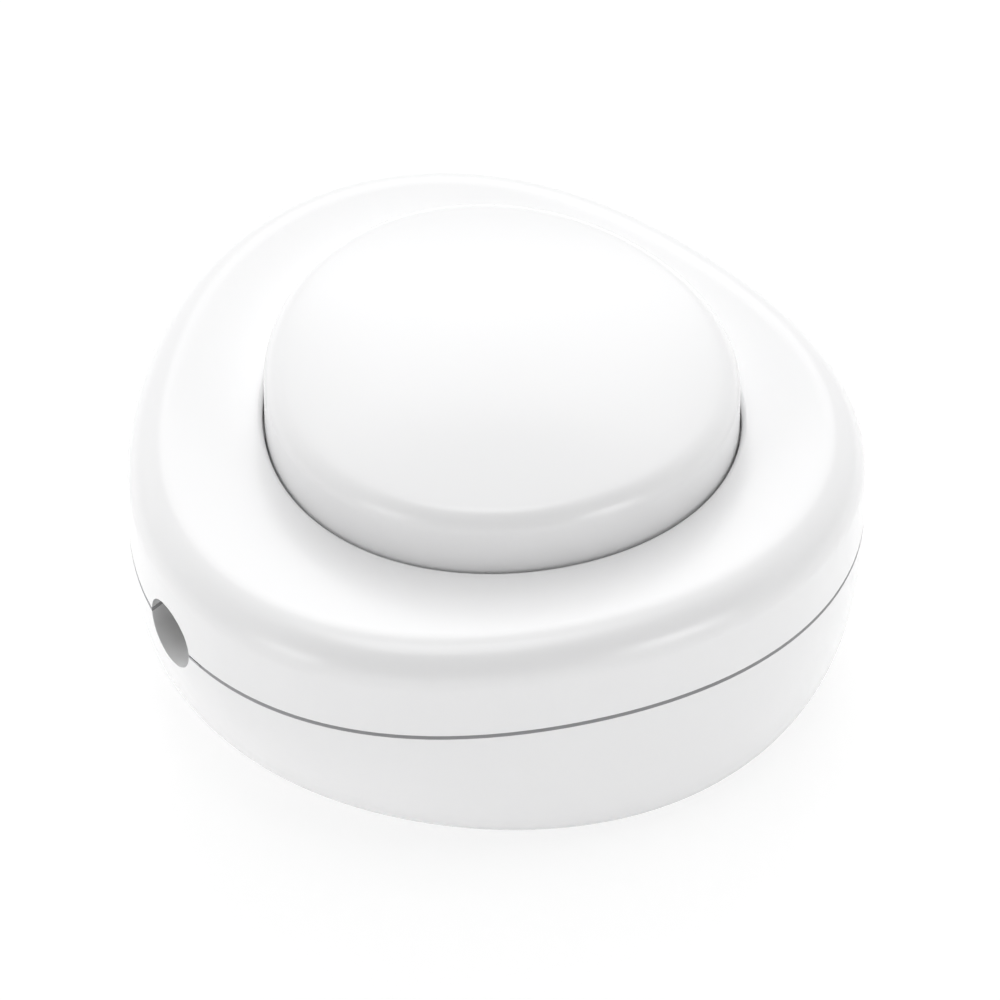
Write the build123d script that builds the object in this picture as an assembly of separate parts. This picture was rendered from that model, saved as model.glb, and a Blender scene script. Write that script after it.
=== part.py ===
"""In-line foot switch: a three-lobed two-shell housing with a big push button.

Pressing the button pushes a pawl down onto an eight-tooth ratchet wheel. Each press turns the
wheel an eighth of a turn, and the cam beside the teeth swings a lever that closes or opens one
pair of contacts. Millimetres, +Z up. The nose of the housing points along +X, the two cord holes
lie on a line parallel to X, and the origin is under the middle of the housing.
"""

from build123d import *
import math
import os

# Housing outline at the seam: a circle with three soft lobes, one of them the nose
BODY_RADIUS = 35.0
BODY_OVAL = -0.0133
BODY_LOBES = 0.0486
BODY_X = -BODY_RADIUS * BODY_LOBES

# Outline of the flat foot, smaller and set back from the nose
FOOT_RADIUS = 29.75
FOOT_OVAL = -0.057
FOOT_LOBES = -0.004
FOOT_BACK = 2.8

# Heights and walls of the two shells; the cover's top falls from the rim to the opening
SEAM_Z = 17.8
WALL = 2.0
FLOOR = 2.2
COVER_HEIGHT = 10.2
DISH_DEPTH = 1.4
RIM_Z = SEAM_Z + COVER_HEIGHT
OPENING_Z = RIM_Z - DISH_DEPTH
COVER_ROOF = 2.0
SHOULDER_RADIUS = 3.8
OPENING_ROUND = 0.6
SEAM_GROOVE = 0.25

# Lip that registers the cover on the base
LIP_THICKNESS = 0.9
LIP_HEIGHT = 1.6
LIP_CLEARANCE = 0.1

# Push button
BUTTON_RADIUS = 22.6
BUTTON_OVAL = -0.0173
BUTTON_LOBES = 0.0251
BUTTON_BACK = 2.1
BUTTON_X = BODY_X - BUTTON_BACK
BUTTON_CLEARANCE = 0.35
BUTTON_WALL = 1.8
BUTTON_TRAVEL = 4.5
BUTTON_RISE = 9.0
DOME_TOP = OPENING_Z + BUTTON_RISE
DOME_RADIUS = 90.0
BUTTON_ROUND = 2.4
FLANGE_WIDTH = 1.2
FLANGE_THICKNESS = 1.3
SEAT_GAP = 0.3

# Cord line, beside the mechanism
CORD_Y = -8.0
CORD_HOLE_RADIUS = 3.45
COLLAR_FRONT = 3.0
COLLAR_REAR = 1.0
COLLAR_WALL = 1.6

# Ratchet wheel and cam, turning on a pin along X
WHEEL_Y = 8.0
WHEEL_Z = 11.5
TEETH = 8
TIP_RADIUS = 6.4
ROOT_RADIUS = 4.4
RATCHET_X = BUTTON_X - 4.4
RATCHET_WIDTH = 3.5
CAM_LOW = 4.6
CAM_RISE = 1.4
CAM_X = BUTTON_X + 0.3
CAM_WIDTH = 4.0
CAM_STEPS = 6
HUB_RADIUS = 2.6
AXLE_RADIUS = 1.0
RUNNING_CLEARANCE = 0.05
FIT_CLEARANCE = 0.02

# Frame that carries the wheel, the lever and the return spring
CHEEK_GAP = 12.0
CHEEK_THICKNESS = 1.8
SIDE_PLAY = 0.25
FRAME_FRONT_Y = -4.2
FRAME_BACK_Y = 17.8
FRAME_Z = 3.4
FRAME_TOP_Z = 20.6
FRAME_PLATE = 1.6
FRAME_HOLE_RADIUS = 4.6
FRAME_ROUND = 2.0
FRAME_EDGE = 1.0
EAR_LENGTH = 5.0
EAR_Y = 9.5
EAR_HALF = 3.2

# Return spring round the boss under the button
SPRING_RADIUS = 5.5
SPRING_WIRE = 0.9
SPRING_TURNS = 4
SPRING_SEAT_DEPTH = 4.6
SPRING_SEAT_Z = DOME_TOP - SPRING_SEAT_DEPTH
BOSS_RADIUS = 4.3
BOSS_Z = 24.2

# Pawl, hung from a pin in the boss
PAWL_X = RATCHET_X + RATCHET_WIDTH / 2
PAWL_Y = -0.4
PAWL_PIN_Z = 26.0
PAWL_PIN_RADIUS = 0.8
PAWL_PIN_LENGTH = 5.4
PAWL_PIN_SHIFT = 1.2
PAWL_EYE = 1.7
PAWL_SHANK = 1.4
PAWL_WIDTH = 2.6
PAWL_TIP_RADIUS = 0.5
PAWL_LIFT = 0.95
PAWL_HOOK = 1.3

# Contact lever and its contacts
LEVER_Y = 15.2
LEVER_Z = 5.4
LEVER_THICKNESS = 1.2
LEVER_WIDTH = 3.4
LEVER_X = CAM_X + (CAM_WIDTH - LEVER_WIDTH) / 2
LEVER_MIDDLE = LEVER_X + LEVER_WIDTH / 2
LEVER_EYE = 1.7
LEVER_PIN_RADIUS = 0.75
LEVER_CLEARANCE = 0.3
NOSE_RADIUS = 1.0
CONTACT_UP = 10.2
CONTACT_Z = LEVER_Z + CONTACT_UP
CONTACT_RADIUS = 1.5
CONTACT_RIM = 0.2
LEVER_TOP_Z = CONTACT_Z + CONTACT_RADIUS + CONTACT_RIM
CONTACT_HEAD = 0.8
CONTACT_SHANK_RADIUS = 0.8
CONTACT_TAIL = 0.5
CONTACT_TAIL_RADIUS = 1.2
CONTACT_CLEARANCE = 0.2
STRIP_THICKNESS = 0.8
STRIP_WIDTH = 5.0
STRIP_ABOVE = 0.4
PEDESTAL_MARGIN = 1.0
TONGUE_HEIGHT = 2.2

# Brass terminals
BLOCK_LENGTH = 9.0
BLOCK_WIDTH = 6.5
BLOCK_HEIGHT = 7.0
BLOCK_Z = 5.6
BLOCK_CHAMFER = 0.6
WIRE_HOLE_RADIUS = 1.5
WIRE_HOLE_UP = 3.0
SCREW_RADIUS = 1.5
SCREW_HEAD_RADIUS = 2.3
SCREW_HEAD = 1.6
SCREW_SLOT = 0.6
SCREW_STANDS = 1.0
TONGUE_GAP = 0.1
LIVE_IN_X = BUTTON_X + 18.8
LIVE_IN_Y = 13.0
LIVE_OUT_X = BUTTON_X + 13.3
LINK_Y = -17.5
LINK_LENGTH = 24.0
LINK_PITCH = 15.0

# Cord clamps, and the screws of the clamps, the frame and the cover
CLAMP_GAP = 1.1
CLAMP_WIDTH = 3.0
CLAMP_HALF = 6.9
CLAMP_THICKNESS = 3.4
CLAMP_UP = 1.2
CLAMP_SQUEEZE = 0.3
CLAMP_ROUND = 1.2
CLAMP_SCREW_Y = 5.0
POST_RADIUS = 1.8
SMALL_SCREW_RADIUS = 1.0
SMALL_HEAD_RADIUS = 1.7
SMALL_HEAD = 1.1
SMALL_SCREW_DEPTH = 7.0
FRAME_SCREW_DEPTH = 2.4
SCREW_END_GAP = 0.3
COVER_SCREW_TURN = math.radians(120.7)
COVER_SCREW_INSET = 8.5
COVER_BOSS_RADIUS = 2.5
COVER_POST_RADIUS = 3.6
COVER_POST_DROP = 2.0
COVER_SCREW_RADIUS = 1.3
COVER_SCREW_REACH = 5.7
COVER_SCREW_TOP = SEAM_Z + COVER_SCREW_REACH
COVER_HEAD_RADIUS = 2.2
COVER_RECESS = 5.0
HOLE_CLEARANCE = 0.2

# Points of an outline, and heights of the sections as shares of the bowl and of its cavity
OUTLINE_POINTS = 24
BOWL_SHARES = (0.0, 0.03, 0.1, 0.25, 0.5, 0.75, 1.0)
CAVITY_SHARES = (0.0, 0.08, 0.25, 0.5, 0.75, 1.0)

# A length past the whole switch, how far a cut passes the face that it opens, and how near is level
FAR = 3 * BODY_RADIUS
CUT = 1.0
LEVEL = 0.1


def lobed_radius(radius, oval, lobes, a):
    """Distance of a lobed outline from its centre at the angle a."""
    return radius * (1 + oval * math.cos(2 * a) + lobes * math.cos(3 * a))


def lobed_face(radius, oval, lobes, centre_x, z, inset=0.0):
    """Flat face whose outline is a circle with an oval and a three-lobed part, moved in by inset."""
    points = []
    for i in range(OUTLINE_POINTS):
        a = 2 * math.pi * i / OUTLINE_POINTS
        r = lobed_radius(radius, oval, lobes, a)
        slope = -radius * (2 * oval * math.sin(2 * a) + 3 * lobes * math.sin(3 * a))
        along_x = slope * math.cos(a) - r * math.sin(a)
        along_y = slope * math.sin(a) + r * math.cos(a)
        length = math.hypot(along_x, along_y)
        x = r * math.cos(a) - inset * along_y / length
        y = r * math.sin(a) + inset * along_x / length
        points.append((centre_x + x, y, z))
    return make_face(Spline(*points, periodic=True))


def body_face(z, inset=0.0):
    """Section of the housing at height z: upright from the seam up, curving in below it."""
    drop = max(0.0, 1 - z / SEAM_Z)
    blend = 1 - math.sqrt(1 - drop * drop)

    def mix(seam, foot):
        return seam + (foot - seam) * blend

    return lobed_face(
        mix(BODY_RADIUS, FOOT_RADIUS),
        mix(BODY_OVAL, FOOT_OVAL),
        mix(BODY_LOBES, FOOT_LOBES),
        mix(BODY_X, BODY_X - FOOT_BACK),
        z,
        inset,
    )


def button_face(z, inset=0.0):
    """Section of the button's wall at height z."""
    return lobed_face(BUTTON_RADIUS, BUTTON_OVAL, BUTTON_LOBES, BUTTON_X, z, inset)


def prism(face, height):
    """Upright solid on a flat face."""
    return extrude(face, amount=height, dir=(0, 0, 1))


def column(x, y, z0, z1, radius):
    """Upright cylinder from z0 to z1."""
    return Pos(x, y, z0) * Cylinder(radius, z1 - z0, align=(Align.CENTER, Align.CENTER, Align.MIN))


def bar_x(x0, x1, y, z, radius):
    """Cylinder along X."""
    return Pos(x0, y, z) * Rot(0, 90, 0) * column(0, 0, 0, x1 - x0, radius)


def bar_y(x, y0, y1, z, radius):
    """Cylinder along Y."""
    return Pos(x, y0, z) * Rot(-90, 0, 0) * column(0, 0, 0, y1 - y0, radius)


def block(x0, x1, y0, y1, z0, z1):
    """Box between two corners."""
    return Pos(x0, y0, z0) * Box(x1 - x0, y1 - y0, z1 - z0, align=(Align.MIN, Align.MIN, Align.MIN))


def side_profile(points, x0, x1):
    """Solid whose outline in the YZ plane is a list of (y, z) points, from x0 to x1."""
    outline = Polyline(*[(x0, y, z) for y, z in points], close=True)
    return extrude(make_face(outline), amount=x1 - x0, dir=(1, 0, 0))


def cord_line_end(side):
    """Where the cord line leaves the housing at the seam: the nose (1) or the back (-1)."""
    a = 0.0
    for _ in range(20):
        r = lobed_radius(BODY_RADIUS, BODY_OVAL, BODY_LOBES, a if side > 0 else math.pi - a)
        a = math.asin(CORD_Y / r)
    return BODY_X + side * r * math.cos(a)


def collars(z0, z1):
    """Halves of the collars that lengthen the two cord holes inside the wall."""
    half = CORD_HOLE_RADIUS + COLLAR_WALL
    pieces = []
    for side, length in ((1, COLLAR_FRONT), (-1, COLLAR_REAR)):
        end = cord_line_end(side)
        x0, x1 = sorted((end - side * (WALL + length), end + side * WALL))
        pieces.append(block(x0, x1, CORD_Y - half, CORD_Y + half, z0, z1))
    return pieces[0] + pieces[1]


def cord_bore():
    """The line of the two cord holes, at the seam."""
    return bar_x(-FAR, FAR, CORD_Y, SEAM_Z, CORD_HOLE_RADIUS)


def clamp_places():
    """Middle of the front and the rear cord clamp along the cord line, just inside the collars."""
    inside = WALL + CLAMP_GAP + CLAMP_WIDTH / 2
    return cord_line_end(1) - COLLAR_FRONT - inside, cord_line_end(-1) + COLLAR_REAR + inside


def clamp_screw_places():
    """Axes of the four clamp screws."""
    return [(x, CORD_Y + side * CLAMP_SCREW_Y) for x in clamp_places() for side in (-1, 1)]


def frame_screw_places():
    """Axes of the two screws that hold the frame's ears."""
    reach = CHEEK_GAP / 2 + CHEEK_THICKNESS + EAR_LENGTH / 2
    return [(BUTTON_X + side * reach, EAR_Y) for side in (-1, 1)]


def cover_screw_places():
    """Axes of the two screws that hold the cover from below, inside the rear lobes."""
    r = lobed_radius(BODY_RADIUS, BODY_OVAL, BODY_LOBES, COVER_SCREW_TURN) - COVER_SCREW_INSET
    x, y = BODY_X + r * math.cos(COVER_SCREW_TURN), r * math.sin(COVER_SCREW_TURN)
    return [(x, -y), (x, y)]


def terminal_screw_places():
    """Axes of the four terminal screws."""
    link = [(BUTTON_X + side * LINK_PITCH / 2, LINK_Y) for side in (-1, 1)]
    return [(LIVE_IN_X, LIVE_IN_Y), (LIVE_OUT_X, strip_y() + STRIP_THICKNESS / 2)] + link


def lever_swing():
    """Angle that the cam swings the contact lever through, in radians."""
    return CAM_RISE / (WHEEL_Z - LEVER_Z)


def strip_y():
    """Near face of the fixed contact's strip, clear of the lever's contact when it is closed."""
    out = LEVER_THICKNESS / 2 + CONTACT_HEAD
    up = CONTACT_Z - LEVER_Z + CONTACT_RADIUS
    closed = LEVER_Y + out * math.cos(lever_swing()) + up * math.sin(lever_swing())
    return closed + CONTACT_CLEARANCE + CONTACT_HEAD


def outer_bowl():
    """Outside of the base, up to the seam."""
    return loft([body_face(SEAM_Z * share) for share in BOWL_SHARES])


def base_shell():
    """Lower shell: bowl, registration lip, collars, posts and pedestals."""
    bowl = outer_bowl()
    depth = SEAM_Z - FLOOR
    cavity = loft([body_face(FLOOR + depth * share, WALL) for share in CAVITY_SHARES])
    shell = chamfer(bowl.edges().group_by(Axis.Z)[-1], SEAM_GROOVE) - cavity

    fittings = collars(SEAM_Z - CORD_HOLE_RADIUS - COLLAR_WALL, SEAM_Z)
    for x, y in clamp_screw_places():
        fittings += column(x, y, 0, SEAM_Z, POST_RADIUS)
    for x, y in cover_screw_places():
        fittings += column(x, y, 0, SEAM_Z - COVER_POST_DROP, COVER_POST_RADIUS)
    for x, y in frame_screw_places():
        fittings += column(x, y, 0, FRAME_Z, POST_RADIUS)
    half_l, half_w = BLOCK_LENGTH / 2, BLOCK_WIDTH / 2
    live_out_y = strip_y() + STRIP_THICKNESS / 2
    for x, y in ((LIVE_IN_X, LIVE_IN_Y), (LIVE_OUT_X, live_out_y)):
        fittings += block(x - half_l, x + half_l, y - half_w, y + half_w, 0, BLOCK_Z)
    link_x0, link_x1 = BUTTON_X - LINK_LENGTH / 2, BUTTON_X + LINK_LENGTH / 2
    fittings += block(link_x0, link_x1, LINK_Y - half_w, LINK_Y + half_w, 0, BLOCK_Z)
    leg_x0, leg_x1 = LEVER_MIDDLE - STRIP_WIDTH / 2, LEVER_MIDDLE + STRIP_WIDTH / 2
    leg_y0, leg_y1 = strip_y() - PEDESTAL_MARGIN, strip_y() + STRIP_THICKNESS + PEDESTAL_MARGIN
    fittings += block(leg_x0, leg_x1, leg_y0, leg_y1, 0, LEVER_Z)
    shell += fittings & bowl

    lip_z = SEAM_Z - LIP_HEIGHT
    lip = prism(body_face(lip_z, WALL - LIP_THICKNESS), 2 * LIP_HEIGHT)
    lip -= prism(body_face(lip_z, WALL), 2 * LIP_HEIGHT)
    half = CORD_HOLE_RADIUS + COLLAR_WALL + LIP_CLEARANCE
    lip -= block(-FAR, FAR, CORD_Y - half, CORD_Y + half, SEAM_Z, SEAM_Z + LIP_HEIGHT)
    shell += lip
    for x, y in clamp_screw_places():
        shell += column(x, y, SEAM_Z - LIP_HEIGHT, SEAM_Z + CLAMP_UP, POST_RADIUS)

    shell -= cord_bore()
    for x, y in clamp_screw_places():
        top = SEAM_Z + CLAMP_UP
        shell -= column(x, y, top - SMALL_SCREW_DEPTH, top, SMALL_SCREW_RADIUS + FIT_CLEARANCE)
    for x, y in frame_screw_places():
        shell -= column(x, y, FRAME_Z - FRAME_SCREW_DEPTH, FRAME_Z, SMALL_SCREW_RADIUS + FIT_CLEARANCE)
    for x, y in cover_screw_places():
        shell -= column(x, y, -CUT, SEAM_Z, COVER_SCREW_RADIUS + HOLE_CLEARANCE)
        shell -= column(x, y, -CUT, COVER_RECESS, COVER_HEAD_RADIUS + HOLE_CLEARANCE)
    return shell


def round_edge(solid, above, radius):
    """The edge above a height that goes right round an outline of this radius."""
    almost_round = 1.8 * math.pi * radius
    return solid.edges().filter_by(lambda e: e.center().Z > above and e.length > almost_round)


def dish(drop):
    """Tool above the cover's top, which falls from the rim to the button's opening."""
    low = button_face(OPENING_Z - drop, -BUTTON_CLEARANCE)
    high = lobed_face(BODY_RADIUS, BODY_OVAL, BODY_LOBES, BODY_X, RIM_Z - drop)
    funnel = loft([low, high], ruled=True)
    return funnel + prism(lobed_face(2 * BODY_RADIUS, 0, 0, BODY_X, RIM_Z - drop), FAR)


def cover_block(inset, drop, shoulder):
    """Closed upper housing, moved in by inset and down by drop, with a rounded shoulder."""
    solid = prism(body_face(SEAM_Z, inset), RIM_Z - SEAM_Z) - dish(drop)
    return fillet(round_edge(solid, SEAM_Z + shoulder, BODY_RADIUS - inset), shoulder)


def cover_shell():
    """Upper shell with the button's opening, screw bosses and the upper halves of the collars."""
    outer = cover_block(0.0, 0.0, SHOULDER_RADIUS)
    inner = cover_block(WALL, COVER_ROOF, SHOULDER_RADIUS - WALL)
    shell = chamfer(outer.edges().group_by(Axis.Z)[0], SEAM_GROOVE) - inner
    rebate = WALL - LIP_THICKNESS - LIP_CLEARANCE
    shell -= prism(body_face(SEAM_Z, rebate), LIP_HEIGHT + LIP_CLEARANCE)
    shell += collars(SEAM_Z, SEAM_Z + CORD_HOLE_RADIUS + COLLAR_WALL) & outer
    for x, y in cover_screw_places():
        boss = column(x, y, SEAM_Z - COVER_POST_DROP, SEAM_Z + LIP_HEIGHT, COVER_BOSS_RADIUS)
        shell += boss + (column(x, y, SEAM_Z, RIM_Z, COVER_BOSS_RADIUS) & outer)
        shell -= column(x, y, 0, COVER_SCREW_TOP, COVER_SCREW_RADIUS + FIT_CLEARANCE)
    shell -= cord_bore()
    shell -= prism(button_face(SEAM_Z, -BUTTON_CLEARANCE), FAR)
    top = shell.edges().filter_by(lambda e: abs(e.center().Z - OPENING_Z) < LEVEL)
    return fillet(top, OPENING_ROUND)


def dome_block(inset, drop, bottom):
    """Domed plug with the button's outline, moved in by inset and down by drop."""
    ball = Pos(BUTTON_X, 0, DOME_TOP - drop - DOME_RADIUS) * Sphere(DOME_RADIUS)
    return prism(button_face(bottom, inset), FAR) & ball


def flange_top():
    """Top of the button's flange, just under the cover at rest."""
    return OPENING_Z - COVER_ROOF - SEAT_GAP


def push_button():
    """Hollow domed button with a retaining flange and the boss that carries the pawl."""
    bottom = flange_top() - FLANGE_THICKNESS
    outer = dome_block(0.0, 0.0, bottom)
    outer = fillet(round_edge(outer, OPENING_Z, BUTTON_RADIUS), BUTTON_ROUND)
    flange = prism(button_face(bottom, -FLANGE_WIDTH), FLANGE_THICKNESS)
    button = outer + flange - dome_block(BUTTON_WALL, BUTTON_WALL, bottom)
    boss = column(BUTTON_X, 0, BOSS_Z, DOME_TOP, BOSS_RADIUS)
    boss += column(BUTTON_X, 0, SPRING_SEAT_Z, DOME_TOP, SPRING_RADIUS + SPRING_WIRE)
    button += boss & outer
    x0, x1 = PAWL_X - PAWL_WIDTH / 2 - SIDE_PLAY, PAWL_X + PAWL_WIDTH / 2 + SIDE_PLAY
    room = PAWL_EYE + SEAT_GAP
    button -= block(x0, x1, -FAR, PAWL_Y + room, BOSS_Z - CUT, PAWL_PIN_Z + room)
    button -= bar_x(*pawl_pin_ends(), PAWL_Y, PAWL_PIN_Z, PAWL_PIN_RADIUS + FIT_CLEARANCE)
    return button


def pawl_pin_ends():
    """Ends of the pawl's pin along X, inside the boss."""
    middle = PAWL_X + PAWL_PIN_SHIFT
    return middle - PAWL_PIN_LENGTH / 2, middle + PAWL_PIN_LENGTH / 2


def pawl():
    """Hook that hangs beside the wheel and pushes one tooth down."""
    x0, x1 = PAWL_X - PAWL_WIDTH / 2, PAWL_X + PAWL_WIDTH / 2
    half_step = math.pi / TEETH
    reach_y = WHEEL_Y - BUTTON_TRAVEL / 2 / math.tan(half_step)
    tip_z = WHEEL_Z + BUTTON_TRAVEL / 2 + PAWL_LIFT
    back, front = PAWL_Y - PAWL_SHANK / 2, PAWL_Y + PAWL_SHANK / 2
    heel = tip_z + PAWL_TIP_RADIUS
    lean = PAWL_TIP_RADIUS * math.sin(half_step), PAWL_TIP_RADIUS * math.cos(half_step)
    shape = [
        (back, PAWL_PIN_Z), (back, heel), (front, heel), (reach_y - lean[0], tip_z - lean[1]),
        (reach_y + lean[1], tip_z + lean[0]), (front, heel + PAWL_HOOK), (front, PAWL_PIN_Z),
    ]
    hook = side_profile(shape, x0, x1) + bar_x(x0, x1, PAWL_Y, PAWL_PIN_Z, PAWL_EYE)
    hook += bar_x(x0, x1, reach_y, tip_z, PAWL_TIP_RADIUS)
    return hook - bar_x(x0, x1, PAWL_Y, PAWL_PIN_Z, PAWL_PIN_RADIUS + RUNNING_CLEARANCE)


def wheel_point(radius, angle):
    """Point (y, z) on the wheel, its angle counted from +Y towards +Z."""
    return (WHEEL_Y + radius * math.cos(angle), WHEEL_Z + radius * math.sin(angle))


def ratchet_wheel():
    """Eight ratchet teeth and a four-lobed cam on one hub."""
    step = 2 * math.pi / TEETH
    teeth = []
    for i in range(TEETH):
        face = math.pi - step / 2 + i * step
        teeth += [wheel_point(ROOT_RADIUS, face), wheel_point(TIP_RADIUS, face)]
    cam = []
    for i in range(TEETH * CAM_STEPS):
        turn = i / CAM_STEPS
        share = turn % 2
        lift = share if share <= 1 else 2 - share
        cam.append(wheel_point(CAM_LOW + CAM_RISE * lift, turn * step))
    wheel = side_profile(teeth, RATCHET_X, RATCHET_X + RATCHET_WIDTH)
    wheel += side_profile(cam, CAM_X, CAM_X + CAM_WIDTH)
    half = CHEEK_GAP / 2 - SIDE_PLAY
    wheel += bar_x(BUTTON_X - half, BUTTON_X + half, WHEEL_Y, WHEEL_Z, HUB_RADIUS)
    return wheel - bar_x(BUTTON_X - half, BUTTON_X + half, WHEEL_Y, WHEEL_Z, AXLE_RADIUS + RUNNING_CLEARANCE)


def cross_pin(y, z, radius):
    """Pin through both cheeks of the frame."""
    half = CHEEK_GAP / 2 + CHEEK_THICKNESS + STRIP_THICKNESS
    return bar_x(BUTTON_X - half, BUTTON_X + half, y, z, radius)


def mechanism_frame():
    """Two cheeks joined by the spring's plate and a tie bar, with two screwed ears."""
    half = CHEEK_GAP / 2
    plate_z = FRAME_TOP_Z - FRAME_PLATE
    shape = [
        (FRAME_FRONT_Y, FRAME_Z), (FRAME_BACK_Y, FRAME_Z), (FRAME_BACK_Y, LEVER_Z + LEVER_EYE + FRAME_EDGE),
        (WHEEL_Y + HUB_RADIUS + CHEEK_THICKNESS, plate_z), (FRAME_FRONT_Y, plate_z),
    ]
    frame = None
    for side in (-1, 1):
        near, far = BUTTON_X + side * half, BUTTON_X + side * (half + CHEEK_THICKNESS)
        x0, x1 = min(near, far), max(near, far)
        cheek = side_profile(shape, x0, x1)
        cheek = fillet(cheek.edges().filter_by(Axis.X).group_by(Axis.Y)[-1], FRAME_ROUND)
        ear_end = BUTTON_X + side * (half + CHEEK_THICKNESS + EAR_LENGTH)
        ear_x0, ear_x1 = min(far, ear_end), max(far, ear_end)
        cheek += block(ear_x0, ear_x1, EAR_Y - EAR_HALF, EAR_Y + EAR_HALF, FRAME_Z, FRAME_Z + FRAME_PLATE)
        frame = cheek if frame is None else frame + cheek
    outside = half + CHEEK_THICKNESS
    seat = SPRING_RADIUS + SPRING_WIRE
    frame += block(BUTTON_X - outside, BUTTON_X + outside, -seat, seat, plate_z, FRAME_TOP_Z)
    frame += block(BUTTON_X - half, BUTTON_X + half, FRAME_FRONT_Y, FRAME_FRONT_Y + CHEEK_THICKNESS,
                   FRAME_Z, FRAME_Z + 2 * CHEEK_THICKNESS)
    frame -= column(BUTTON_X, 0, plate_z - CUT, FRAME_TOP_Z + CUT, FRAME_HOLE_RADIUS)
    frame -= cross_pin(WHEEL_Y, WHEEL_Z, AXLE_RADIUS + FIT_CLEARANCE)
    frame -= cross_pin(LEVER_Y, LEVER_Z, LEVER_PIN_RADIUS + FIT_CLEARANCE)
    for x, y in frame_screw_places():
        frame -= column(x, y, FRAME_Z - CUT, FRAME_TOP_Z, SMALL_SCREW_RADIUS + HOLE_CLEARANCE)
    return frame


def return_spring():
    """Round-wire coil between the frame's plate and the seat under the button."""
    low, high = FRAME_TOP_Z + SPRING_WIRE / 2, SPRING_SEAT_Z - SPRING_WIRE / 2
    coil = Helix(pitch=(high - low) / SPRING_TURNS, height=high - low, radius=SPRING_RADIUS)
    path = Pos(BUTTON_X, 0, low) * coil
    start = Plane(origin=path @ 0, z_dir=path % 0)
    return sweep(start * Circle(SPRING_WIRE / 2), path=path)


def contact_lever():
    """Lever on its hub, with the rounded nose that follows the cam."""
    x0, x1 = LEVER_X, LEVER_X + LEVER_WIDTH
    near, far = LEVER_Y - LEVER_THICKNESS / 2, LEVER_Y + LEVER_THICKNESS / 2
    lever = block(x0, x1, near, far, LEVER_Z, LEVER_TOP_Z)
    tip_y = WHEEL_Y + CAM_LOW + LEVER_CLEARANCE
    lever += block(x0, x1, tip_y + NOSE_RADIUS, near, WHEEL_Z - NOSE_RADIUS, WHEEL_Z + NOSE_RADIUS)
    lever += bar_x(x0, x1, tip_y + NOSE_RADIUS, WHEEL_Z, NOSE_RADIUS)
    half = CHEEK_GAP / 2 - SIDE_PLAY
    lever += bar_x(BUTTON_X - half, BUTTON_X + half, LEVER_Y, LEVER_Z, LEVER_EYE)
    pin_hole = LEVER_PIN_RADIUS + RUNNING_CLEARANCE
    lever -= bar_x(BUTTON_X - half, BUTTON_X + half, LEVER_Y, LEVER_Z, pin_hole)
    return lever - bar_y(LEVER_MIDDLE, near, far, CONTACT_Z, CONTACT_SHANK_RADIUS + FIT_CLEARANCE)


def contact_rivet(face_y, side, thickness):
    """Rivet on a strip whose front face is at face_y; side is the way the head looks along Y."""
    def slice_y(start, length, radius):
        y0, y1 = sorted((face_y + side * start, face_y + side * (start + length)))
        return bar_y(LEVER_MIDDLE, y0, y1, CONTACT_Z, radius)

    head = slice_y(0, CONTACT_HEAD, CONTACT_RADIUS)
    outer = head.edges().group_by(Axis.Y)[-1 if side > 0 else 0]
    head = fillet(outer, CONTACT_HEAD / 2)
    shank = slice_y(-thickness, thickness, CONTACT_SHANK_RADIUS)
    return head + shank + slice_y(-thickness - CONTACT_TAIL, CONTACT_TAIL, CONTACT_TAIL_RADIUS)


def fixed_contact_strip():
    """Upright brass strip with a tongue that the outgoing terminal grips."""
    x = LEVER_MIDDLE
    y0, y1 = strip_y(), strip_y() + STRIP_THICKNESS
    strip = block(x - STRIP_WIDTH / 2, x + STRIP_WIDTH / 2, y0, y1, LEVER_Z, LEVER_TOP_Z + STRIP_ABOVE)
    hole_z = BLOCK_Z + WIRE_HOLE_UP
    end = LIVE_OUT_X + BLOCK_LENGTH / 3
    strip += block(x, end, y0, y1, hole_z - TONGUE_HEIGHT / 2, hole_z + TONGUE_HEIGHT / 2)
    return strip - bar_y(x, y0, y1, CONTACT_Z, CONTACT_SHANK_RADIUS + FIT_CLEARANCE)


def lever_strip():
    """Bent brass strip from the lever's pin to the incoming terminal."""
    x0 = BUTTON_X + CHEEK_GAP / 2 + CHEEK_THICKNESS
    x1 = x0 + STRIP_THICKNESS
    hole_z = BLOCK_Z + WIRE_HOLE_UP
    top = hole_z + TONGUE_HEIGHT / 2
    near, far = LIVE_IN_Y - STRIP_THICKNESS / 2, LIVE_IN_Y + STRIP_THICKNESS / 2
    plate = side_profile([(near, top), (near, hole_z - TONGUE_HEIGHT / 2), (LEVER_Y - LEVER_EYE, LEVER_Z),
                          (LEVER_Y + LEVER_EYE, LEVER_Z), (LEVER_Y, top)], x0, x1)
    plate += bar_x(x0, x1, LEVER_Y, LEVER_Z, LEVER_EYE)
    plate += block(x0, LIVE_IN_X + BLOCK_LENGTH / 3, near, far, hole_z - TONGUE_HEIGHT / 2, top)
    return plate - bar_x(x0, x1, LEVER_Y, LEVER_Z, LEVER_PIN_RADIUS + FIT_CLEARANCE)


def terminal_block(x, y, length, screws_x):
    """Brass block with a wire hole along X and clamping screws from above."""
    half_l, half_w = length / 2, BLOCK_WIDTH / 2
    body = block(x - half_l, x + half_l, y - half_w, y + half_w, BLOCK_Z, BLOCK_Z + BLOCK_HEIGHT)
    body = chamfer(body.edges().filter_by(Axis.Z), BLOCK_CHAMFER)
    hole_z = BLOCK_Z + WIRE_HOLE_UP
    body -= bar_x(x - half_l, x + half_l, y, hole_z, WIRE_HOLE_RADIUS)
    for screw_x in screws_x:
        body -= column(screw_x, y, hole_z, BLOCK_Z + BLOCK_HEIGHT, SCREW_RADIUS + FIT_CLEARANCE)
    return body


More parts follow.
